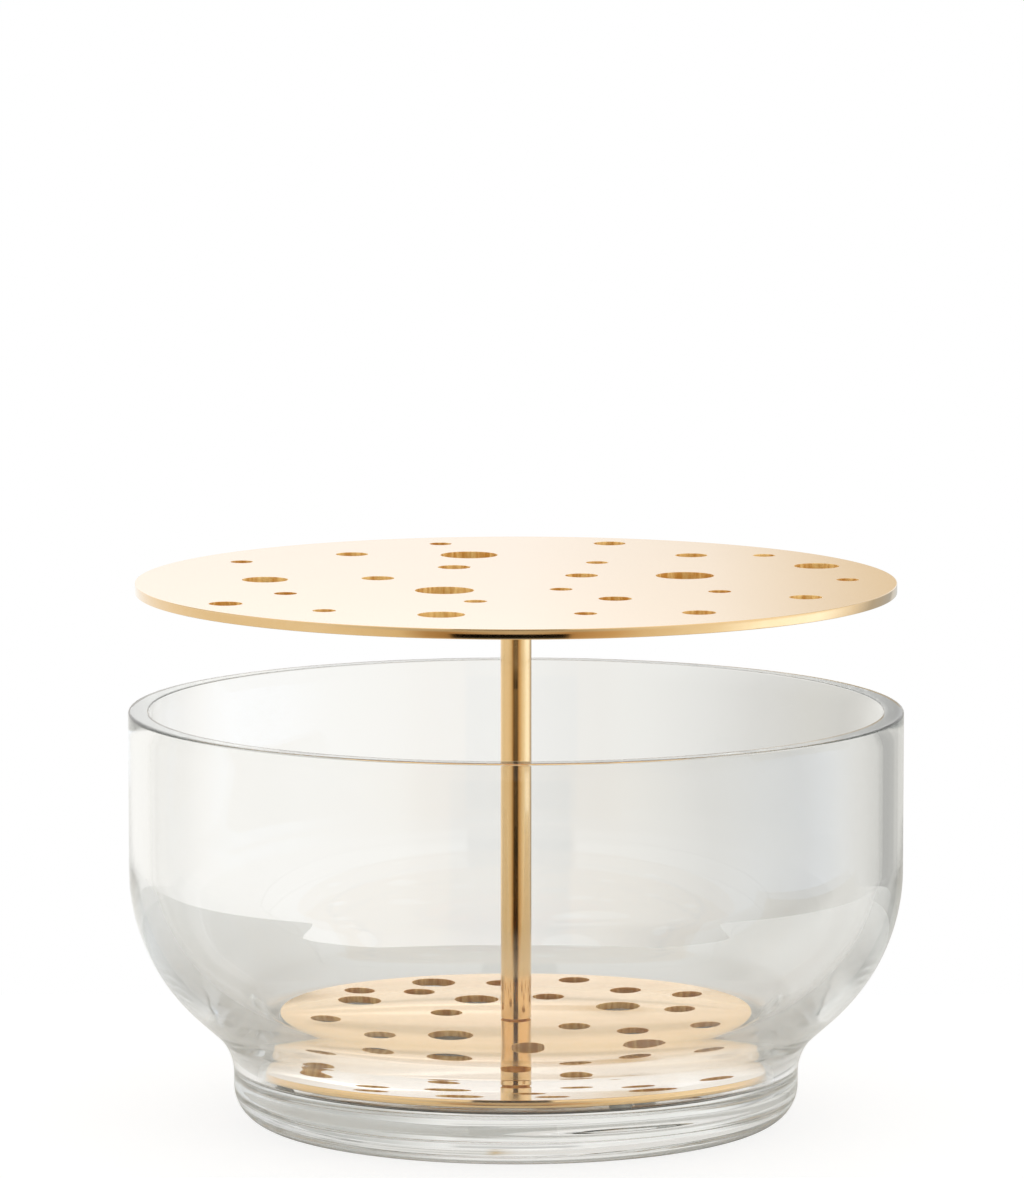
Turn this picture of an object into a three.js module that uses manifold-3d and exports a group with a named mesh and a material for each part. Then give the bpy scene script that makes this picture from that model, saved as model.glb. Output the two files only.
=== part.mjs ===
// Ikebana vase: a clear glass bowl that holds a brass insert, two drilled plates joined by a stem.
// Millimetres, +Z up. The origin is the centre of the bowl's foot, on the surface that it stands on.

import * as THREE from "three";
import { mergeVertices } from "three/addons/utils/BufferGeometryUtils.js";
import loadManifold from "manifold-3d";

const wasm = await loadManifold();
wasm.setup();

// Bowl
const bowlRadius = 124.4; // outside of the upright wall
const bowlHeight = 132.9;
const bowlWall = 6.5;
const rimOuterRound = 0.8; // the rim is ground flat, with its edges eased
const rimInnerRound = 0.4;
const outerSlope = THREE.MathUtils.degToRad(48.2); // lean of the wall where the belly runs into the waist
const innerSlope = THREE.MathUtils.degToRad(47);
const bellyOuterRound = 62.4;
const bellyInnerRound = 55.5;
const waistOuterRound = 19.7;
const waistInnerRound = 19.7;
const footWall = 8.9;
const footUpright = 3.5; // straight stretch of the foot's side
const footCornerRound = 11.3;
const baseThickness = 17; // solid glass under the floor
const floorCornerRound = 1.4;
const standWidth = 9.6; // width of the flat ring that the bowl stands on
const puntDepth = 1.2; // shallow hollow under the base

// Plates
const plateThickness = 3.2;
const upperPlateRadius = 122;
const lowerPlateRadius = 80;
const lowerPlateClearance = 2; // to the bowl's wall at its foot
const hubLand = 13.5; // undrilled metal round the stem
const upperRimLand = 8.5; // undrilled metal inside the rim
const lowerRimLand = 5;
const holeSmall = 7;
const holeMedium = 10.3;
const holeLarge = 14.5;
const holeWidest = 18.5;

// Stem
const stemDiameter = 10;
const stemLength = 148.3; // from plate to plate
const stemChamfer = 0.4;
const spigotDiameter = 6; // soldered into a blind recess under the upper plate
const spigotLength = 1.8;

// Screw that holds the stem on the lower plate
const screwDiameter = 4;
const screwHeadDiameter = 7.6;
const screwHeadEdge = 0.3; // upright edge of the countersunk head
const screwHeadSink = 0.2; // head below the plate's underside
const screwReach = 13; // length of thread inside the stem
const screwTipChamfer = 0.6;
const boreRunOut = 2; // tapped bore past the screw's tip
const socketAcrossFlats = 2.5;
const socketDepth = 1.3;

// Soft feet under the lower plate
const padCount = 3;
const padDiameter = 7;
const padHeight = 2.4;
const padRound = 1.5;
const padInset = 5; // centre of a foot to the plate's rim
const padBearing = THREE.MathUtils.degToRad(-65); // the foot that shows at the front
const padNames = ["foot_front", "foot_right", "foot_left"];

// Clearance round a piece that is let into its neighbour
const fitGap = 0.3;

// Facets
const bowlSides = 64;
const plateSides = 96;
const turnedSides = 32;
const padSides = 20;
const facetSag = 0.12; // most that a flat facet cuts into a round stretch
const holeFacet = 3; // length of one side of a hole
const leastHoleSides = 12;

// Drill layouts: bearing in degrees from +X, and reach across the drilled band, 0 at the hub and 1 at the rim.
const upperDrilling = [
  { diameter: holeSmall, places: [[1.5, 0.96], [40, 0.96], [61.5, 0.38], [104, 0.93], [150.5, 0.92], [204.5, 0.66]] },
  { diameter: holeSmall, places: [[232, 0.85], [256.5, 0.37], [284.5, 0.73], [303, 0.05], [336.5, 0.55]] },
  { diameter: holeMedium, places: [[33.5, 0.02], [50, 0.78], [73, 0.98], [119, 0.21], [127, 0.78]] },
  { diameter: holeMedium, places: [[171.5, 0.25], [213, 1], [304, 0.38], [305, 0.89], [335, 0.91]] },
  { diameter: holeLarge, places: [[22, 0.99], [178, 0.68], [255, 0.79]] },
  { diameter: holeWidest, places: [[14, 0.37], [102.5, 0.57], [228, 0.08]] },
];
const lowerDrilling = [
  { diameter: holeMedium, places: [[11.5, 0.7], [32, 0.97], [51.5, 0.78], [73.5, 1], [73.5, 0.32], [94.5, 0.83]] },
  { diameter: holeMedium, places: [[126.5, 0.68], [140.5, 0.98], [160, 0.02], [186.5, 0.87], [214, 0.65]] },
  { diameter: holeMedium, places: [[229.5, 0.96], [275, 0.45], [280, 0.87], [324, 0], [329.5, 0.45], [344.5, 0.9]] },
  { diameter: holeLarge, places: [[28.5, 0.31], [112.5, 0.21], [114.5, 1], [153.5, 0.79]] },
  { diameter: holeLarge, places: [[233, 0.23], [254.5, 0.92], [313.5, 0.84]] },
];

// Worked out from the sizes above
const stemRadius = stemDiameter / 2;
const screwRadius = screwDiameter / 2;
const screwHeadRadius = screwHeadDiameter / 2;
const screwHeadHeight = screwHeadEdge + screwHeadRadius - screwRadius;
const innerFootRadius = lowerPlateRadius + lowerPlateClearance;
const outerFootRadius = innerFootRadius + footWall;
const lowerPlateZ = padHeight;
const stemZ = lowerPlateZ + plateThickness;
const upperPlateZ = stemZ + stemLength;
const boreDepth = screwReach + boreRunOut;

const glass = new THREE.MeshStandardMaterial({ color: 0xe8eeea, roughness: 0.05, metalness: 0 });
glass.transparent = true;
glass.opacity = 0.35;
const brass = new THREE.MeshStandardMaterial({ color: 0xdcb46c, roughness: 0.16, metalness: 1 });
const steel = new THREE.MeshStandardMaterial({ color: 0xb9bab8, roughness: 0.35, metalness: 1 });
const softRubber = new THREE.MeshStandardMaterial({ color: 0xb4b6ae, roughness: 0.5, metalness: 0 });

function point(r, z) {
  return new THREE.Vector2(r, z);
}

// Points on a round stretch of a profile, from one angle to another.
function arc(r, z, round, from, to) {
  const step = 2 * Math.acos(Math.max(0, 1 - facetSag / round));
  const steps = Math.ceil(Math.abs(to - from) / step);
  return new THREE.EllipseCurve(r, z, round, round, from, to, to < from).getPoints(steps);
}

// A closed solid from a three.js shape: equal corners merged, and the slivers on the axis left out.
function solidOf(geometry) {
  geometry.deleteAttribute("normal");
  geometry.deleteAttribute("uv");
  const merged = mergeVertices(geometry);
  const corners = merged.index.array;
  const triangles = [];
  for (let i = 0; i < corners.length; i += 3) {
    const [a, b, c] = corners.slice(i, i + 3);
    if (a !== b && b !== c && c !== a) triangles.push(a, b, c);
  }
  const vertProperties = new Float32Array(merged.attributes.position.array);
  return new wasm.Manifold(new wasm.Mesh({ numProp: 3, vertProperties, triVerts: new Uint32Array(triangles) }));
}

// A turned solid about the Z axis, from profile points that run outside upwards and back to the axis.
function turned(profile, sides = turnedSides) {
  return solidOf(new THREE.LatheGeometry(profile, sides).rotateX(Math.PI / 2));
}

function namedMesh(name, solid, material) {
  const { vertProperties, triVerts } = solid.getMesh();
  const geometry = new THREE.BufferGeometry();
  geometry.setAttribute("position", new THREE.BufferAttribute(vertProperties, 3));
  geometry.setIndex(new THREE.BufferAttribute(triVerts, 1));
  geometry.computeVertexNormals();
  const mesh = new THREE.Mesh(geometry, material);
  mesh.name = name;
  return mesh;
}

// One face of the bowl's wall, from the belly's top down to the foot. The rounds give way where the wall is short.
function wallFace({ top, belly, waist, foot, footTop, slope }) {
  const drawIn = top - foot;
  const ease = Math.min(1, drawIn / ((belly + waist) * (1 - Math.cos(slope))));
  const bellyRound = belly * ease;
  const waistRound = waist * ease;
  const rounds = bellyRound + waistRound;
  const straight = (drawIn - rounds * (1 - Math.cos(slope))) / Math.sin(slope);
  const bellyTop = footTop + rounds * Math.sin(slope) + straight * Math.cos(slope);
  return [
    ...arc(top - bellyRound, bellyTop, bellyRound, 0, -slope),
    ...arc(foot + waistRound, footTop, waistRound, Math.PI - slope, Math.PI),
  ];
}

function bowl() {
  const innerRadius = bowlRadius - bowlWall;
  const outerLip = Math.min(rimOuterRound, bowlWall / 2);
  const innerLip = Math.min(rimInnerRound, bowlWall / 2);
  const standOuter = outerFootRadius - footCornerRound;
  const standInner = standOuter - standWidth;
  const puntRound = (standInner ** 2 + puntDepth ** 2) / (2 * puntDepth);
  const puntHalf = Math.asin(standInner / puntRound);
  const up = Math.PI / 2;
  const outer = wallFace({
    top: bowlRadius,
    belly: bellyOuterRound,
    waist: waistOuterRound,
    foot: outerFootRadius,
    footTop: footCornerRound + footUpright,
    slope: outerSlope,
  });
  const inner = wallFace({
    top: innerRadius,
    belly: bellyInnerRound,
    waist: waistInnerRound,
    foot: innerFootRadius,
    footTop: baseThickness + floorCornerRound,
    slope: innerSlope,
  });
  const floorCorner = arc(
    innerFootRadius - floorCornerRound, baseThickness + floorCornerRound, floorCornerRound, 0, -up,
  );
  return turned([
    ...arc(0, puntDepth - puntRound, puntRound, up, up - puntHalf),
    ...arc(standOuter, footCornerRound, footCornerRound, -up, 0),
    ...outer.reverse(),
    ...arc(bowlRadius - outerLip, bowlHeight - outerLip, outerLip, 0, up),
    ...arc(innerRadius + innerLip, bowlHeight - innerLip, innerLip, up, Math.PI),
    ...inner,
    ...floorCorner.slice(1),
    point(0, baseThickness),
  ], bowlSides);
}

function ring(x, y, radius, sides) {
  return new THREE.EllipseCurve(x, y, radius, radius, 0, 2 * Math.PI).getPoints(sides).slice(0, sides);
}

// A round plate with its drilled holes, lying on the XY plane.
function drilledPlate(radius, rimLand, drilling) {
  const outline = new THREE.Shape(ring(0, 0, radius, plateSides));
  for (const { diameter, places } of drilling) {
    const half = diameter / 2;
    const nearest = stemRadius + hubLand + half;
    const farthest = radius - rimLand - half;
    const sides = Math.max(leastHoleSides, 4 * Math.ceil(Math.PI * diameter / holeFacet / 4));
    for (const [bearing, reach] of places) {
      const out = THREE.MathUtils.lerp(nearest, farthest, reach);
      const turn = THREE.MathUtils.degToRad(bearing);
      outline.holes.push(new THREE.Path(ring(out * Math.cos(turn), out * Math.sin(turn), half, sides)));
    }
  }
  return solidOf(new THREE.ExtrudeGeometry(outline, { depth: plateThickness, bevelEnabled: false }));
}

// The upper plate is blind above the spigot, so that no joint shows on its top.
function upperPlate() {
  const recess = turned([
    point(0, -fitGap),
    point(spigotDiameter / 2 + fitGap, -fitGap),
    point(spigotDiameter / 2 + fitGap, spigotLength + fitGap),
    point(0, spigotLength + fitGap),
  ]);
  return drilledPlate(upperPlateRadius, upperRimLand, upperDrilling).subtract(recess);
}

// The lower plate is countersunk from below for the screw.
function lowerPlate() {
  const seatTop = screwHeadSink + screwHeadHeight;
  const countersink = turned([
    point(0, -fitGap),
    point(screwHeadRadius + fitGap, -fitGap),
    point(screwHeadRadius + fitGap, screwHeadSink + screwHeadEdge),
    point(screwRadius + fitGap, seatTop),
    point(screwRadius + fitGap, plateThickness + fitGap),
    point(0, plateThickness + fitGap),
  ]);
  return drilledPlate(lowerPlateRadius, lowerRimLand, lowerDrilling).subtract(countersink);
}

function stem() {
  return turned([
    point(0, boreDepth),
    point(screwRadius + fitGap, boreDepth),
    point(screwRadius + fitGap, 0),
    point(stemRadius - stemChamfer, 0),
    point(stemRadius, stemChamfer),
    point(stemRadius, stemLength - stemChamfer),
    point(stemRadius - stemChamfer, stemLength),
    point(spigotDiameter / 2, stemLength),
    point(spigotDiameter / 2, stemLength + spigotLength),
    point(0, stemLength + spigotLength),
  ]);
}

// The screw stands on the level of the lower plate's underside.
function stemScrew() {
  const tip = plateThickness + screwReach;
  const shank = turned([
    point(0, screwHeadSink),
    point(screwHeadRadius, screwHeadSink),
    point(screwHeadRadius, screwHeadSink + screwHeadEdge),
    point(screwRadius, screwHeadSink + screwHeadHeight),
    point(screwRadius, tip - screwTipChamfer),
    point(screwRadius - screwTipChamfer, tip),
    point(0, tip),
  ]);
  const socketRadius = socketAcrossFlats / Math.sqrt(3);
  const socket = new THREE.CylinderGeometry(socketRadius, socketRadius, 2 * socketDepth, 6);
  socket.rotateX(Math.PI / 2).translate(0, 0, screwHeadSink);
  return shank.subtract(solidOf(socket));
}

// A soft foot, rounded where it meets the glass.
function pad() {
  const radius = padDiameter / 2;
  const edge = Math.min(padRound, padHeight / 2, radius / 2);
  return turned([
    point(0, 0),
    ...arc(radius - edge, edge, edge, -Math.PI / 2, 0),
    point(radius, padHeight),
    point(0, padHeight),
  ], padSides);
}

// The insert stands on the bowl's floor.
const insert = new THREE.Group();
insert.position.z = baseThickness;

for (let i = 0; i < padCount; i++) {
  const turn = padBearing + i * 2 * Math.PI / padCount;
  const out = lowerPlateRadius - padInset;
  const foot = namedMesh(padNames[i], pad(), softRubber);
  foot.position.set(out * Math.cos(turn), out * Math.sin(turn), 0);
  insert.add(foot);
}

const stacked = [
  [namedMesh("lower_plate", lowerPlate(), brass), lowerPlateZ],
  [namedMesh("stem_screw", stemScrew(), steel), lowerPlateZ],
  [namedMesh("stem", stem(), brass), stemZ],
  [namedMesh("upper_plate", upperPlate(), brass), upperPlateZ],
];
for (const [piece, z] of stacked) {
  piece.position.z = z;
  insert.add(piece);
}

const vase = new THREE.Group();
vase.add(namedMesh("glass_bowl", bowl(), glass), insert);

export default vase;
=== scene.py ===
import math

import bmesh
import bpy
from mathutils import Matrix, Vector


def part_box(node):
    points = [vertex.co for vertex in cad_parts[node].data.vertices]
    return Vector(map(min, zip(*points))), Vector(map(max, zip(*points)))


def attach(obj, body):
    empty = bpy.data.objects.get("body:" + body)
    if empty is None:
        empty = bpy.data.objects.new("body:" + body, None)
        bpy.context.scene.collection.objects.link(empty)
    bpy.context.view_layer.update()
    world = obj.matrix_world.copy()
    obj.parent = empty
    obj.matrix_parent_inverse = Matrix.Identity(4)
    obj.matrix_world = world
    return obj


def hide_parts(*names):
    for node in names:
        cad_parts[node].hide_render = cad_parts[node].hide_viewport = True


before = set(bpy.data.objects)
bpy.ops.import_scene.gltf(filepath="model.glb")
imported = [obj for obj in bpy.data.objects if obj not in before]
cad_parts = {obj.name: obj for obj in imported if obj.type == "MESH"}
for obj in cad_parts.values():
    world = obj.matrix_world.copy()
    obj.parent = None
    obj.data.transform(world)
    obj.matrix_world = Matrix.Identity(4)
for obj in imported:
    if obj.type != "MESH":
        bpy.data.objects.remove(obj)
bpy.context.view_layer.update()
mm = 0.001  # the scene is in metres, the shapes below in millimetres
seamMerge = 1e-6  # metres, for the seams of a turned shape
pieceMerge = 1e-7  # metres, for the borders of a finished piece
levelReach = 1e-6  # metres, within which a vertex lies in a plate's face
scene = bpy.context.scene
scene.view_settings.view_transform = "Standard"
scene.cycles.max_bounces = 160  # thick glass turns light round many times
scene.cycles.glossy_bounces = 128
scene.cycles.transmission_bounces = 128
print("frame loaded:", len(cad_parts), "nodes")


# Node trees

class Wire:  # one output of a node; operators on it add Math nodes
    def __init__(self, graph, socket):
        self.graph = graph
        self.socket = socket

    def calc(self, operation, *values):
        return self.graph.node("Math", {"operation": operation}, dict(enumerate(values)))

    def __add__(self, other):
        return self.calc("ADD", self, other)

    def __radd__(self, other):
        return self.calc("ADD", other, self)

    def __sub__(self, other):
        return self.calc("SUBTRACT", self, other)

    def __rsub__(self, other):
        return self.calc("SUBTRACT", other, self)

    def __mul__(self, other):
        return self.calc("MULTIPLY", self, other)

    def __rmul__(self, other):
        return self.calc("MULTIPLY", other, self)

    def max(self, other):
        return self.calc("MAXIMUM", self, other)

    def band(self, low, high):  # 0 below low, 1 above high, eased between
        ends = {"Value": self, "From Min": low, "From Max": high}
        return self.graph.node("MapRange", {"interpolation_type": "SMOOTHSTEP"}, ends)


class Graph:  # the node tree of a material or of the world
    def __init__(self, owner):
        owner.use_nodes = True
        self.tree = owner.node_tree
        self.tree.nodes.clear()

    def node(self, kind, settings=None, sockets=None, out=0):
        made = self.tree.nodes.new("ShaderNode" + kind)
        for key, value in (settings or {}).items():
            if key == "stops":
                self.setStops(made.color_ramp.elements, value)
            else:
                setattr(made, key, value)
        for key, value in (sockets or {}).items():
            if isinstance(value, Wire):
                self.tree.links.new(value.socket, made.inputs[key])
            else:
                made.inputs[key].default_value = value
        return Wire(self, made.outputs[out]) if made.outputs else made

    def setStops(self, elements, stops):
        while len(elements) < len(stops):
            elements.new(1.0)
        for element, (place, colour) in zip(elements, stops):
            element.position = place
            element.color = colour

    def blend(self, share, first, second):  # colours, by a share of 0 to 1
        return self.node("Mix", {"data_type": "RGBA"}, {0: share, 6: first, 7: second}, out=2)

    def noise(self, vector, scale, detail):
        return self.node("TexNoise", None, {"Vector": vector, "Scale": scale, "Detail": detail})

    def grain(self, vector, scale, detail):  # noise with its own scale along X, Y and Z
        stretched = self.node("Mapping", None, {"Vector": vector, "Scale": scale})
        return self.noise(stretched, 1.0, detail)


def newMaterial(name):
    material = bpy.data.materials.new(name)
    return material, Graph(material)


# Finishes, in metres

glassFinish = {
    "ior": 1.5,
    "tint": (0.998, 0.998, 0.994, 1),
    "absorbColour": (0.80, 0.806, 0.793, 1),
    "absorbDensity": 7.0,  # per metre
    "shadowTint": (0.96, 0.965, 0.96, 1),
    "waveScale": 11.0,  # slow waves all over
    "waveDetail": 0.0,
    "waveHeight": 0.00010,
    "toolScale": (5, 5, 700),  # fine level lines round the foot
    "toolDetail": 2.0,
    "toolHeight": 0.00004,
    "toolBelow": (0.009, 0.013),
    "swirlScale": (13, 13, 60),  # slow level swirls in the thick base
    "swirlDetail": 0.0,
    "swirlHeight": 0.0024,
    "swirlBelow": (0.008, 0.016),
}


def clearGlass():
    f = glassFinish
    material, graph = newMaterial("clearGlass")
    place = graph.node("TexCoord", out="Object")
    height = graph.node("SeparateXYZ", None, {0: place}, out="Z")
    waves = f["waveHeight"] * graph.noise(place, f["waveScale"], f["waveDetail"])
    tooling = f["toolHeight"] * graph.grain(place, f["toolScale"], f["toolDetail"])
    swirls = f["swirlHeight"] * graph.grain(place, f["swirlScale"], f["swirlDetail"])
    lowTooling = tooling * (1 - height.band(*f["toolBelow"]))
    lowSwirls = swirls * (1 - height.band(*f["swirlBelow"]))
    ripple = graph.node("Bump", None, {"Height": waves + lowTooling + lowSwirls, "Distance": 1.0})
    body = graph.node("BsdfPrincipled", None, {
        "Base Color": f["tint"], "Roughness": 0.0, "IOR": f["ior"],
        "Transmission Weight": 1.0, "Normal": ripple})
    shadowRay = graph.node("LightPath", out="Is Shadow Ray")
    diffuseRay = graph.node("LightPath", out="Is Diffuse Ray")
    clear = graph.node("BsdfTransparent", None, {"Color": f["shadowTint"]})
    surface = graph.node("MixShader", None, {0: shadowRay.max(diffuseRay), 1: body, 2: clear})
    depth = graph.node("VolumeAbsorption", None, {
        "Color": f["absorbColour"], "Density": f["absorbDensity"]})
    graph.node("OutputMaterial", None, {"Surface": surface, "Volume": depth})
    return material


plateFinish = {
    "grain": (40, 500, 500),  # lines along X
    "grainDepth": 0.000002,
    "rough": 0.10,
    "roughSwing": 0.06,
    "bright": (0.91, 0.63, 0.31, 1),
    "deep": (0.86, 0.55, 0.22, 1),
    "deepShare": 0.25,
    "metal": 1.0,
    "lacquer": 1.0,
    "lacquerHaze": 0.03,
}
stemFinish = {
    "grain": (1500, 1500, 12),  # lines along the rod
    "grainDepth": 0.000006,
    "rough": 0.14,
    "roughSwing": 0.10,
    "bright": (0.91, 0.63, 0.31, 1),
    "deep": (0.86, 0.55, 0.22, 1),
    "deepShare": 0.35,
    "metal": 1.0,
    "lacquer": 1.0,
    "lacquerHaze": 0.04,
}
cutFinish = {  # bare and dull, where a drill or a lathe has cut
    "grain": (550, 550, 100),
    "grainDepth": 0.00006,
    "rough": 0.45,
    "roughSwing": 0.30,
    "bright": (1.0, 0.67, 0.25, 1),
    "deep": (0.66, 0.28, 0.03, 1),
    "deepShare": 1.0,
    "metal": 0.25,
    "lacquer": 0.0,
    "lacquerHaze": 0.0,
}
brassPattern = {
    "detail": 3.0,
    "smudgeScale": 16.0,
    "lineShare": 0.6,  # the rest of the colour's pattern is smudges
    "fade": (0.38, 0.62),
    "lacquerIor": 1.5,
}


def brass(name, f):
    p = brassPattern
    material, graph = newMaterial(name)
    place = graph.node("TexCoord", out="Object")
    lines = graph.grain(place, f["grain"], p["detail"])
    smudge = graph.noise(place, p["smudgeScale"], p["detail"])
    pattern = p["lineShare"] * lines + (1 - p["lineShare"]) * smudge
    colour = graph.blend(f["deepShare"] * pattern.band(*p["fade"]), f["bright"], f["deep"])
    relief = graph.node("Bump", None, {"Height": lines, "Distance": f["grainDepth"]})
    surface = graph.node("BsdfPrincipled", None, {
        "Base Color": colour, "Metallic": f["metal"], "Normal": relief,
        "Coat Weight": f["lacquer"], "Coat Roughness": f["lacquerHaze"], "Coat IOR": p["lacquerIor"],
        "Roughness": f["rough"] + f["roughSwing"] * (lines + smudge - 1.0)})
    graph.node("OutputMaterial", None, {"Surface": surface})
    return material


softFinish = {
    "bloomScale": 900.0,
    "bloomDetail": 2.0,
    "dull": (0.66, 0.67, 0.63, 1),
    "pale": (0.74, 0.75, 0.71, 1),
    "rough": 0.3,
    "roughSwing": 0.15,
    "ior": 1.42,
    "clearness": 0.5,
}


def softFoot():
    f = softFinish
    material, graph = newMaterial("softFoot")
    place = graph.node("TexCoord", out="Object")
    bloom = graph.noise(place, f["bloomScale"], f["bloomDetail"])
    surface = graph.node("BsdfPrincipled", None, {
        "Base Color": graph.blend(bloom, f["dull"], f["pale"]),
        "Roughness": f["rough"] + f["roughSwing"] * bloom,
        "IOR": f["ior"], "Transmission Weight": f["clearness"]})
    graph.node("OutputMaterial", None, {"Surface": surface})
    return material


steelFinish = {
    "turningScale": (300, 300, 4000),
    "turningDetail": 2.0,
    "dark": (0.60, 0.60, 0.59, 1),
    "light": (0.74, 0.74, 0.73, 1),
    "rough": 0.25,
    "roughSwing": 0.15,
}


def screwSteel():
    f = steelFinish
    material, graph = newMaterial("screwSteel")
    place = graph.node("TexCoord", out="Object")
    turning = graph.grain(place, f["turningScale"], f["turningDetail"])
    surface = graph.node("BsdfPrincipled", None, {
        "Base Color": graph.blend(turning, f["dark"], f["light"]), "Metallic": 1.0,
        "Roughness": f["rough"] + f["roughSwing"] * turning})
    graph.node("OutputMaterial", None, {"Surface": surface})
    return material


glassMat = clearGlass()
plateMat = brass("polishedBrass", plateFinish)
stemMat = brass("drawnBrass", stemFinish)
cutMat = brass("drilledBrass", cutFinish)
footMat = softFoot()
screwMat = screwSteel()
print("finishes made")


# Mesh tools

class Pen:  # draws half an outline in the XZ plane, then turns it about Z
    def __init__(self, r, z):
        self.bm = bmesh.new()
        self.tip = self.bm.verts.new((r, 0, z))

    def line(self, r, z, steps=1):
        home = self.tip.co.copy()
        for i in range(steps):
            self.tip = bmesh.ops.extrude_vert_indiv(self.bm, verts=[self.tip])["verts"][0]
            self.tip.co = home.lerp(Vector((r, 0, z)), (i + 1) / steps)
        return self

    def arc(self, r, z, turn, steps):  # round (r, z), in degrees, from outwards to upwards
        spun = bmesh.ops.spin(
            self.bm, geom=[self.tip], cent=(r, 0, z), axis=(0, -1, 0),
            angle=math.radians(turn), steps=steps)
        self.tip = next(v for v in spun["geom_last"] if isinstance(v, bmesh.types.BMVert))
        return self

    def turned(self, sides, sectors=8):  # one sector is spun, and then copied round
        bm = self.bm
        sector = 2 * math.pi / sectors
        bmesh.ops.spin(
            bm, geom=bm.verts[:] + bm.edges[:], cent=(0, 0, 0), axis=(0, 0, 1),
            angle=sector, steps=sides // sectors)
        bmesh.ops.spin(
            bm, geom=bm.verts[:] + bm.edges[:] + bm.faces[:], cent=(0, 0, 0), axis=(0, 0, 1),
            angle=2 * math.pi - sector, steps=sectors - 1, use_duplicate=True)
        bmesh.ops.remove_doubles(bm, verts=bm.verts[:], dist=seamMerge)
        for face in bm.faces:
            face.smooth = True
        return bm


def stamp(bm, pattern, x=0.0, y=0.0):  # adds a copy of a turned wall
    copy = bpy.data.meshes.new("copy")
    pattern.to_mesh(copy)
    copy.transform(Matrix.Translation((x, y, 0)))
    bm.from_mesh(copy)
    bpy.data.meshes.remove(copy)


def finishPiece(bm, name, materials, body, node, creaseAngle=40):
    bmesh.ops.remove_doubles(bm, verts=bm.verts[:], dist=pieceMerge)
    bmesh.ops.recalc_face_normals(bm, faces=bm.faces[:])
    for edge in bm.edges:
        edge.smooth = edge.calc_face_angle(0) < math.radians(creaseAngle)
    mesh = bpy.data.meshes.new(name)
    bm.to_mesh(mesh)
    bm.free()
    for material in materials:
        mesh.materials.append(material)
    piece = bpy.data.objects.new(name, mesh)
    scene.collection.objects.link(piece)
    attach(piece, body)
    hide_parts(node)
    print(name, len(mesh.polygons), "faces")


# Bowl

bowlShape = {
    "wall": 6.5,
    "rimOuterRound": 0.8,
    "rimInnerRound": 0.4,
    "outerSlope": 48.2,  # degrees, where the belly runs into the waist
    "innerSlope": 47.0,
    "bellyOuter": 62.4,
    "bellyInner": 55.5,
    "waistOuter": 19.7,
    "waistInner": 19.7,
    "footOuter": 90.9,
    "footInner": 82.0,
    "footUpright": 3.5,
    "footCorner": 11.3,
    "floorCorner": 1.4,
    "standWidth": 9.6,
    "punt": 1.2,  # the hollow under the base
    "sides": 288,
    "arcSteps": 32,
    "roundSteps": 8,
    "wallSteps": 8,
    "slopeSteps": 4,
    "rimSteps": 4,
    "standSteps": 2,
}


def bellyStart(top, belly, waist, foot, footTop, slope):  # the height where the wall turns upright
    rounds = belly + waist
    straight = (top - foot - rounds * (1 - math.cos(slope))) / math.sin(slope)
    return footTop + rounds * math.sin(slope) + straight * math.cos(slope)


def makeBowl():
    s = bowlShape
    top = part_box("glass_bowl")[1]
    radius = top.x
    height = top.z
    inner = radius - s["wall"] * mm
    outerLip = s["rimOuterRound"] * mm
    innerLip = s["rimInnerRound"] * mm
    slope = math.radians(s["outerSlope"])
    innerSlope = math.radians(s["innerSlope"])
    foot = s["footOuter"] * mm
    footInner = s["footInner"] * mm
    corner = s["footCorner"] * mm
    footTop = corner + s["footUpright"] * mm
    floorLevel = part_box("foot_front")[0].z
    floorCorner = s["floorCorner"] * mm
    standOuter = foot - corner
    standInner = standOuter - s["standWidth"] * mm
    punt = s["punt"] * mm
    puntRound = (standInner ** 2 + punt ** 2) / (2 * punt)
    puntTurn = math.degrees(math.asin(standInner / puntRound))
    bellyOuter = s["bellyOuter"] * mm
    bellyInner = s["bellyInner"] * mm
    waistOuter = s["waistOuter"] * mm
    waistInner = s["waistInner"] * mm
    innerFootTop = floorLevel + floorCorner
    bellyTop = bellyStart(radius, bellyOuter, waistOuter, foot, footTop, slope)
    innerTop = bellyStart(inner, bellyInner, waistInner, footInner, innerFootTop, innerSlope)
    bellyFoot = (radius - bellyOuter * (1 - math.cos(slope)), bellyTop - bellyOuter * math.sin(slope))
    waistTop = (
        footInner + waistInner * (1 - math.cos(innerSlope)),
        innerFootTop + waistInner * math.sin(innerSlope))
    steps = s["arcSteps"]
    small = s["roundSteps"]
    pen = Pen(0, punt)
    pen.arc(0, punt - puntRound, -puntTurn, small)
    pen.line(standOuter, 0, s["standSteps"])
    pen.arc(standOuter, corner, 90, steps)
    pen.line(foot, footTop)
    pen.arc(foot + waistOuter, footTop, -s["outerSlope"], steps)
    pen.line(*bellyFoot, s["slopeSteps"])
    pen.arc(radius - bellyOuter, bellyTop, s["outerSlope"], steps)
    pen.line(radius, height - outerLip, s["wallSteps"])
    pen.arc(radius - outerLip, height - outerLip, 90, small)
    pen.line(inner + innerLip, height, s["rimSteps"])
    pen.arc(inner + innerLip, height - innerLip, 90, small)
    pen.line(inner, innerTop, s["wallSteps"])
    pen.arc(inner - bellyInner, innerTop, -s["innerSlope"], steps)
    pen.line(*waistTop, s["slopeSteps"])
    pen.arc(footInner + waistInner, innerFootTop, s["innerSlope"], steps)
    pen.arc(footInner - floorCorner, innerFootTop, -90, small)
    pen.line(0, floorLevel, s["wallSteps"])
    finishPiece(pen.turned(s["sides"]), "glassBowl", [glassMat], "bowl", "glass_bowl")


makeBowl()


# Drilled plates

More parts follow.
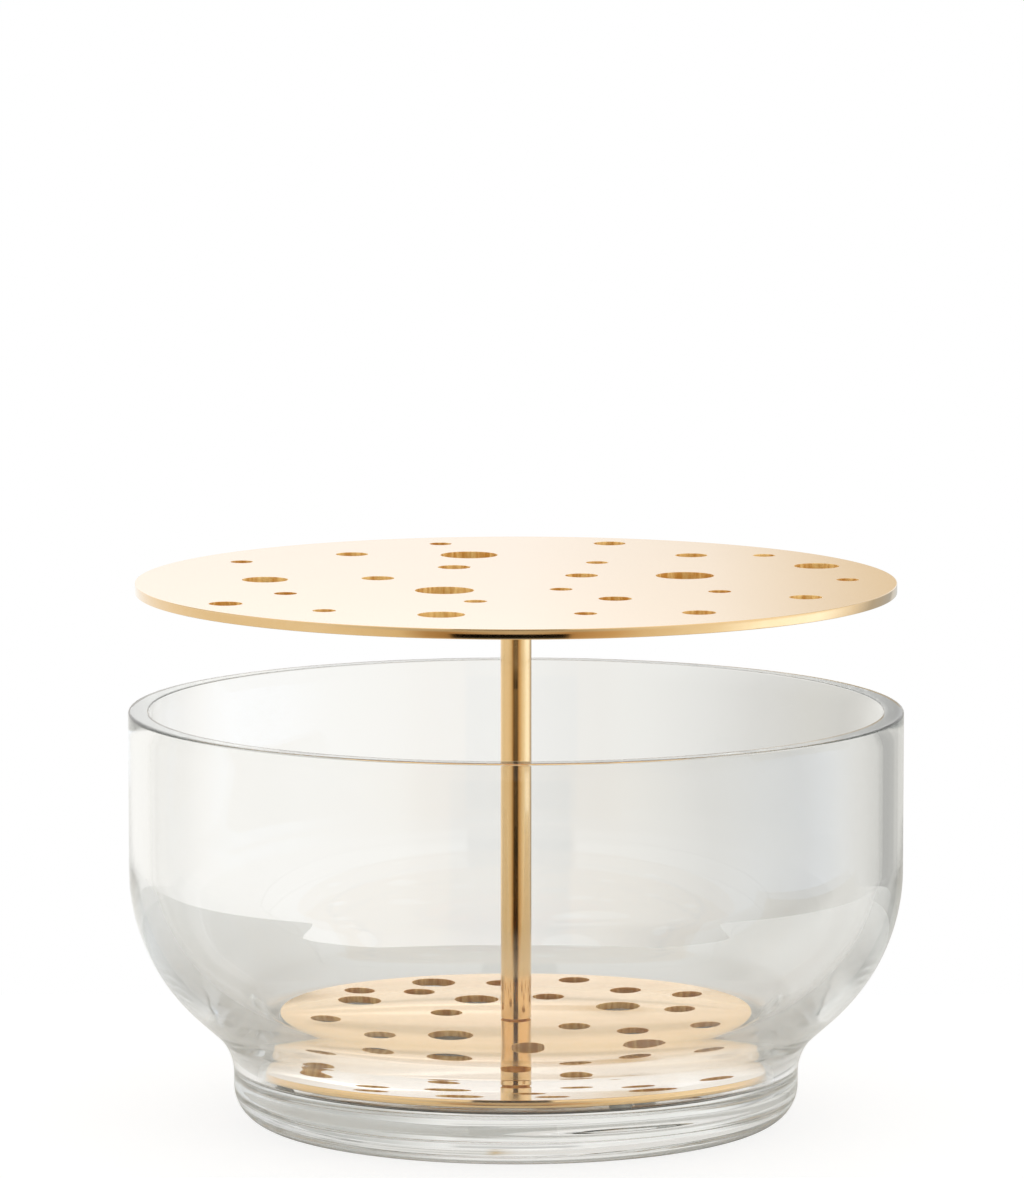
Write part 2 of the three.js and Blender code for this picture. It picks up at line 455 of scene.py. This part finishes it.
plateShape = {
    "hubLand": 13.5,
    "edgeBreak": 0.2,
    "rimSides": 288,
    "holeSides": 56,
    "breakSteps": 3,
    "recessRadius": 3.3,  # for the stem's spigot
    "recessDepth": 2.1,
    "screwHole": 2.3,
    "countersink": 4.1,
    "countersinkEdge": 0.5,
    "countersinkTop": 2.3,
}
upperShape = {
    "rimLand": 8.5,
    "drilling": {  # hole diameter: bearing in degrees and reach across the drilled band
        7.0: [(1.5, 0.96), (40, 0.96), (61.5, 0.38), (104, 0.93), (150.5, 0.92), (204.5, 0.66),
              (232, 0.85), (256.5, 0.37), (284.5, 0.73), (303, 0.05), (336.5, 0.55)],
        10.3: [(33.5, 0.02), (50, 0.78), (73, 0.98), (119, 0.21), (127, 0.78),
               (171.5, 0.25), (213, 1), (304, 0.38), (305, 0.89), (335, 0.91)],
        14.5: [(22, 0.99), (178, 0.68), (255, 0.79)],
        18.5: [(14, 0.37), (102.5, 0.57), (228, 0.08)],
    },
}
lowerShape = {
    "rimLand": 5.0,
    "drilling": {
        10.3: [(11.5, 0.7), (32, 0.97), (51.5, 0.78), (73.5, 1), (73.5, 0.32), (94.5, 0.83),
               (126.5, 0.68), (140.5, 0.98), (160, 0.02), (186.5, 0.87), (214, 0.65),
               (229.5, 0.96), (275, 0.45), (280, 0.87), (324, 0), (329.5, 0.45), (344.5, 0.9)],
        14.5: [(28.5, 0.31), (112.5, 0.21), (114.5, 1), (153.5, 0.79),
               (233, 0.23), (254.5, 0.92), (313.5, 0.84)],
    },
}


def holeWall(radius, bottom, top):
    edge = plateShape["edgeBreak"] * mm
    steps = plateShape["breakSteps"]
    pen = Pen(radius + edge, top)
    pen.arc(radius + edge, top - edge, 90, steps)
    pen.line(radius, bottom + edge)
    pen.arc(radius + edge, bottom + edge, 90, steps)
    return pen.turned(plateShape["holeSides"])


def rimWall(radius, bottom, top):
    edge = plateShape["edgeBreak"] * mm
    steps = plateShape["breakSteps"]
    pen = Pen(radius - edge, bottom)
    pen.arc(radius - edge, bottom + edge, 90, steps)
    pen.line(radius, top - edge)
    pen.arc(radius - edge, top - edge, 90, steps)
    return pen.turned(plateShape["rimSides"])


def blindRecess(bottom, top):
    radius = plateShape["recessRadius"] * mm
    ceiling = bottom + plateShape["recessDepth"] * mm
    return Pen(radius, bottom).line(radius, ceiling).line(0, ceiling).turned(plateShape["holeSides"])


def screwSeat(bottom, top):
    hole = plateShape["screwHole"] * mm
    seat = plateShape["countersink"] * mm
    pen = Pen(hole, top)
    pen.line(hole, bottom + plateShape["countersinkTop"] * mm)
    pen.line(seat, bottom + plateShape["countersinkEdge"] * mm)
    pen.line(seat, bottom)
    return pen.turned(plateShape["holeSides"])


def makePlate(node, name, shape, hub):
    low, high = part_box(node)
    radius = high.x
    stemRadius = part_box("stem")[1].x
    bm = rimWall(radius, low.z, high.z)
    for diameter, places in shape["drilling"].items():
        half = diameter * mm / 2
        nearest = stemRadius + plateShape["hubLand"] * mm + half
        farthest = radius - shape["rimLand"] * mm - half
        wall = holeWall(half, low.z, high.z)
        for face in wall.faces:
            face.material_index = 1
        for bearing, reach in places:
            out = nearest + (farthest - nearest) * reach
            turn = math.radians(bearing)
            stamp(bm, wall, out * math.cos(turn), out * math.sin(turn))
        wall.free()
    middle = hub(low.z, high.z)
    stamp(bm, middle)
    middle.free()
    for level, up in ((low.z, -1), (high.z, 1)):
        openEdges = [e for e in bm.edges if e.is_boundary]
        border = [e for e in openEdges if all(abs(v.co.z - level) < levelReach for v in e.verts)]
        bmesh.ops.triangle_fill(bm, edges=border, use_beauty=True, normal=(0, 0, up))
    finishPiece(bm, name, [plateMat, cutMat], "insert", node)


makePlate("upper_plate", "upperPlate", upperShape, blindRecess)
makePlate("lower_plate", "lowerPlate", lowerShape, screwSeat)


# Stem, screw and feet

stemShape = {
    "chamfer": 0.4,
    "footChamfer": 0.7,  # its darker cut finish is painted shade: a dark line where the stem stands on the plate
    "spigotRadius": 3.0,
    "spigotLength": 1.8,
    "boreRadius": 2.3,
    "boreDepth": 15.0,
    "sides": 96,
}


def makeStem():
    s = stemShape
    low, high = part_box("stem")
    radius = high.x
    shoulder = high.z - s["spigotLength"] * mm
    chamfer = s["chamfer"] * mm
    footChamfer = s["footChamfer"] * mm
    bore = s["boreRadius"] * mm
    boreTop = low.z + s["boreDepth"] * mm
    spigot = s["spigotRadius"] * mm
    pen = Pen(0, boreTop)
    pen.line(bore, boreTop)
    pen.line(bore, low.z)
    pen.line(radius - footChamfer, low.z)
    pen.line(radius, low.z + footChamfer)
    pen.line(radius, shoulder - chamfer)
    pen.line(radius - chamfer, shoulder)
    pen.line(spigot, shoulder)
    pen.line(spigot, high.z)
    pen.line(0, high.z)
    bm = pen.turned(s["sides"])
    # painted shade: the foot chamfer takes the darker cut finish, for a dark line where the stem stands
    for face in bm.faces:
        if face.calc_center_median().z < low.z + footChamfer:
            face.material_index = 1
    finishPiece(bm, "stem", [stemMat, cutMat], "insert", "stem")


screwShape = {
    "headEdge": 0.3,
    "shankRadius": 2.0,
    "threadPitch": 0.7,
    "threadDepth": 0.35,
    "threadTurns": 17,
    "tipChamfer": 0.6,
    "socketAcross": 2.5,
    "socketDepth": 1.3,
    "sides": 48,
    "creaseAngle": 30,
}


def makeScrew():
    s = screwShape
    low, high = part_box("stem_screw")
    headRadius = high.x
    headTop = low.z + s["headEdge"] * mm
    shank = s["shankRadius"] * mm
    neck = headTop + headRadius - shank
    pitch = s["threadPitch"] * mm
    root = shank - s["threadDepth"] * mm
    tipChamfer = s["tipChamfer"] * mm
    socketRadius = s["socketAcross"] * mm / math.sqrt(3)
    socketTop = low.z + s["socketDepth"] * mm
    level = high.z - tipChamfer
    pen = Pen(0, high.z)
    pen.line(shank - tipChamfer, high.z)
    pen.line(shank, level)
    for i in range(s["threadTurns"]):
        pen.line(root, level - pitch / 2)
        pen.line(shank, level - pitch)
        level -= pitch
    pen.line(shank, neck)
    pen.line(headRadius, headTop)
    pen.line(headRadius, low.z)
    bm = pen.turned(s["sides"])
    socket = bmesh.ops.create_circle(
        bm, cap_ends=True, segments=6, radius=socketRadius, matrix=Matrix.Translation((0, 0, socketTop)))
    rimEdges = [e for e in bm.edges if all(v in socket["verts"] for v in e.verts)]
    walls = bmesh.ops.extrude_edge_only(bm, edges=rimEdges)["geom"]
    lowered = [v for v in walls if isinstance(v, bmesh.types.BMVert)]
    bmesh.ops.translate(bm, verts=lowered, vec=(0, 0, low.z - socketTop))
    bmesh.ops.remove_doubles(bm, verts=bm.verts[:], dist=pieceMerge)
    border = [e for e in bm.edges if e.is_boundary]
    bmesh.ops.triangle_fill(bm, edges=border, use_beauty=True, normal=(0, 0, -1))
    finishPiece(
        bm, "stemScrew", [screwMat], "insert", "stem_screw", s["creaseAngle"])


footShape = {
    "edgeRound": 1.5,
    "sides": 48,
    "roundSteps": 8,
}


def makeFoot(node, name):
    s = footShape
    low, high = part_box(node)
    centre = (low + high) / 2
    radius = (high.x - low.x) / 2
    edge = s["edgeRound"] * mm
    pen = Pen(0, low.z)
    pen.line(radius - edge, low.z)
    pen.arc(radius - edge, low.z + edge, 90, s["roundSteps"])
    pen.line(radius, high.z)
    pen.line(0, high.z)
    bm = pen.turned(s["sides"])
    bmesh.ops.translate(bm, verts=bm.verts[:], vec=(centre.x, centre.y, 0))
    finishPiece(bm, name, [footMat], "insert", node)


makeStem()
makeScrew()
for side in ("front", "right", "left"):
    makeFoot("foot_" + side, "foot" + side.capitalize())
print("pieces made")


# Studio, in metres

photoView = {
    "height": 1178,
    "focal": 7891.9,  # in pixels of the photograph
    "place": (0.0, -2.5092, 0.4820),
    "pitchDown": 7.056,
    "yaw": 0.029,
    "sensor": 36,
    "farEnd": 50,
}


def makeCamera():
    v = photoView
    lens = bpy.data.cameras.new("camera")
    lens.sensor_width = v["sensor"]
    lens.lens = v["focal"] / v["height"] * v["sensor"]
    lens.clip_end = v["farEnd"]
    camera = bpy.data.objects.new("camera", lens)
    camera.location = v["place"]
    camera.rotation_euler = (math.radians(90 - v["pitchDown"]), 0, math.radians(v["yaw"]))
    scene.collection.objects.link(camera)
    scene.camera = camera


studio = {
    # colour by bearing in degrees: 0 is the backdrop, 90 the right, 180 behind the camera
    "lower": [
        (-180, (0.56, 0.49, 0.41)), (-168, (0.45, 0.34, 0.22)), (-160, (0.38, 0.25, 0.12)),
        (-153, (0.46, 0.33, 0.19)), (-145, (0.72, 0.65, 0.52)), (-118, (0.84, 0.83, 0.79)),
        (-79, (0.82, 0.80, 0.74)), (-25, (0.98, 0.97, 0.94)), (-7, (1.0, 0.99, 0.96)),
        (-3, (0.97, 0.96, 0.93)), (-0.6, (0.96, 0.955, 0.93)), (0.3, (0.94, 0.94, 0.915)),
        (1.0, (0.905, 0.905, 0.88)), (1.8, (0.80, 0.795, 0.765)), (2.6, (0.715, 0.71, 0.685)),
        (4, (0.66, 0.65, 0.61)), (5.2, (0.59, 0.58, 0.545)), (6.5, (0.58, 0.57, 0.535)),
        (8, (0.66, 0.65, 0.61)), (21, (0.66, 0.655, 0.62)), (24, (0.45, 0.45, 0.43)),
        (45, (0.48, 0.48, 0.46)), (58, (0.85, 0.86, 0.87)), (76, (1.25, 1.42, 1.68)),
        (101, (1.2, 1.36, 1.6)), (118, (0.94, 0.97, 0.98)), (142, (0.74, 0.67, 0.55)),
        (150, (0.62, 0.48, 0.31)), (164, (0.45, 0.30, 0.16)), (172, (0.5, 0.41, 0.30)),
        (180, (0.56, 0.49, 0.41))],
    "upper": [  # what the upper plate mirrors
        (-180, (0.5, 0.47, 0.42)), (-158, (0.5, 0.47, 0.42)), (-120, (0.8, 0.8, 0.79)),
        (-20, (0.98, 0.95, 0.92)), (-3, (1.0, 0.965, 0.925)), (0, (0.99, 0.945, 0.90)),
        (1.0, (0.955, 0.895, 0.835)), (2.0, (0.88, 0.77, 0.62)), (2.85, (0.75, 0.57, 0.34)),
        (3.8, (1.0, 0.98, 0.94)), (40, (0.9, 0.9, 0.9)), (90, (1.05, 1.07, 1.1)),
        (140, (0.8, 0.78, 0.74)), (160, (0.5, 0.47, 0.42)), (180, (0.5, 0.47, 0.42))],
    "rim": [  # what the bowl's flat rim mirrors
        (-180, (0.5, 0.49, 0.47)), (-120, (0.8, 0.8, 0.79)), (-20, (1.2, 1.2, 1.18)),
        (-1.6, (1.6, 1.6, 1.57)), (0, (1.45, 1.45, 1.42)), (1.7, (1.25, 1.25, 1.22)),
        (2.55, (0.84, 0.84, 0.82)), (2.9, (0.84, 0.84, 0.82)), (3.2, (1.2, 1.2, 1.2)),
        (12, (1.12, 1.12, 1.12)), (90, (1.05, 1.07, 1.1)), (140, (0.8, 0.78, 0.74)),
        (160, (0.5, 0.49, 0.47)), (180, (0.5, 0.49, 0.47))],
    "high": [
        (-180, (1.0, 1.0, 0.98)), (-123, (0.95, 0.95, 0.93)), (-95, (1.0, 1.0, 0.98)),
        (-75, (0.7, 0.7, 0.68)), (-64, (0.45, 0.45, 0.43)), (-50, (0.50, 0.50, 0.48)),
        (-40, (0.95, 0.95, 0.93)), (-34, (1.12, 1.12, 1.10)), (-23, (1.05, 1.05, 1.03)),
        (-10, (1.12, 1.11, 1.09)), (10, (1.12, 1.11, 1.09)), (18, (0.82, 0.82, 0.80)),
        (28, (0.64, 0.64, 0.62)), (46, (0.64, 0.64, 0.62)), (60, (0.8, 0.8, 0.79)),
        (90, (1.05, 1.07, 1.1)), (180, (1.0, 1.0, 0.98))],
    # heights where one gives way to the next, as the Z of a unit direction
    "lowerTop": (-0.04, 0.04),
    "upperTop": (0.1295, 0.1325),
    "rimTop": (0.147, 0.16),
    "ceilingFoot": (0.65, 0.8),
    "groundTop": (-0.5, -0.3),
    "ceiling": (1.0, 1.0, 0.98, 1),
    "ground": (0.75, 0.75, 0.73, 1),
    "stripShade": 0.3,  # the backdrop's middle is dimmer in a level strip
    "stripFoot": (0.21, 0.23),
    "stripTop": (0.26, 0.28),
    "stripHalf": (0.12, 0.17),
    "gap": (0.004, 0.003, 0.002, 1),  # the unlit gap behind the camera
    "gapLeft": (-20.0, -19.0),  # degrees
    "gapRight": (15.5, 16.5),
    "gapNear": (0.115, 0.119),
    "gapFar": (0.60, 0.70),
}
black = (0, 0, 0, 1)
white = (1, 1, 1, 1)


def bearingStops(levels):
    return [(angle / 360 + 0.5, (*colour, 1)) for angle, colour in levels]


def makeWorld():
    s = studio
    world = bpy.data.worlds.new("studio")
    scene.world = world
    graph = Graph(world)
    look = graph.node("TexCoord", out="Generated")
    x, y, z = (graph.node("SeparateXYZ", None, {0: look}, out=axis) for axis in "XYZ")
    bearing = x.calc("ARCTAN2", x, y) * (0.5 / math.pi) + 0.5
    lower, upper, rim, high = (
        graph.node("ValToRGB", {"stops": bearingStops(s[part])}, {0: bearing})
        for part in ("lower", "upper", "rim", "high"))
    strip = z.band(*s["stripFoot"]) - z.band(*s["stripTop"])
    middle = 1 - x.calc("ABSOLUTE", x).band(*s["stripHalf"])
    shaded = graph.blend(s["stripShade"] * strip * middle, high, black)
    level = graph.blend(z.band(*s["upperTop"]), upper, rim)
    raised = graph.blend(z.band(*s["rimTop"]), level, shaded)
    walls = graph.blend(z.band(*s["lowerTop"]), lower, raised)
    behind = x.calc("ARCTAN2", x, 0 - y) * (180 / math.pi)
    across = behind.band(*s["gapLeft"]) - behind.band(*s["gapRight"])
    tilt = z.calc("ABSOLUTE", z)
    upDown = tilt.band(*s["gapNear"]) - tilt.band(*s["gapFar"])
    parted = graph.blend(across * upDown, walls, s["gap"])
    above = graph.blend(z.band(*s["ceilingFoot"]), parted, s["ceiling"])
    around = graph.blend(z.band(*s["groundTop"]), s["ground"], above)
    cameraRay = graph.node("LightPath", out="Is Camera Ray")
    light = graph.node("Background", None, {"Color": graph.blend(cameraRay, around, white)})
    graph.node("OutputWorld", None, {"Surface": light})


floorShape = {
    "back": 0.225,
    "front": -0.2,
    "half": 0.6,
    "drop": 0.0002,  # below the bowl, so that the faces don't meet
    "colour": (0.84, 0.84, 0.82, 1),
    "paintedUnderShade": (0.58, 0.58, 0.55, 1),  # painted shade under the thick foot, seen by all but camera rays
    "paintedUnderShadeReach": (0.075, 0.095),
    "paintedContactShadow": (0.10, 0.10, 0.09, 1),  # painted contact shadow: a dark ring where the foot stands
    "contactShadowFrom": (0.060, 0.067),
    "contactShadowTo": (0.080, 0.090),
    "shadowShare": 0.35,
    "shadowFill": 0.75,  # how much of that share the open floor gives back
}


def makeFloor():
    s = floorShape
    material, graph = newMaterial("paleFloor")
    place = graph.node("TexCoord", out="Object")
    reach = graph.node("VectorMath", {"operation": "LENGTH"}, {0: place}, out="Value")
    # painted shade: for all but camera rays the floor is darker under the foot, with a dark
    # contact-shadow ring where the foot stands
    paintedShadeTone = graph.blend(reach.band(*s["paintedUnderShadeReach"]), s["paintedUnderShade"], s["colour"])
    contactShadowMask = reach.band(*s["contactShadowFrom"]) - reach.band(*s["contactShadowTo"])
    mattWithPaintedShade = graph.node("BsdfDiffuse", None, {"Color": graph.blend(contactShadowMask, paintedShadeTone, s["paintedContactShadow"])})
    shadeGrey = s["shadowShare"]
    glowGrey = 1 - s["shadowFill"] * s["shadowShare"]
    shade = graph.node("BsdfDiffuse", None, {"Color": (shadeGrey, shadeGrey, shadeGrey, 1)})
    glow = graph.node("Emission", None, {"Color": (glowGrey, glowGrey, glowGrey, 1)})
    pale = graph.node("AddShader", None, {0: shade, 1: glow})
    cameraRay = graph.node("LightPath", out="Is Camera Ray")
    surface = graph.node("MixShader", None, {0: cameraRay, 1: mattWithPaintedShade, 2: pale})
    graph.node("OutputMaterial", None, {"Surface": surface})
    bm = bmesh.new()
    bmesh.ops.create_grid(bm, x_segments=1, y_segments=1, size=1)
    bmesh.ops.scale(bm, verts=bm.verts[:], vec=(s["half"], (s["back"] - s["front"]) / 2, 1))
    bmesh.ops.translate(bm, verts=bm.verts[:], vec=(0, (s["back"] + s["front"]) / 2, -s["drop"]))
    mesh = bpy.data.meshes.new("floor")
    bm.to_mesh(mesh)
    bm.free()
    mesh.materials.append(material)
    floor = bpy.data.objects.new("floor", mesh)
    scene.collection.objects.link(floor)


makeCamera()
makeWorld()
makeFloor()
print("studio made")
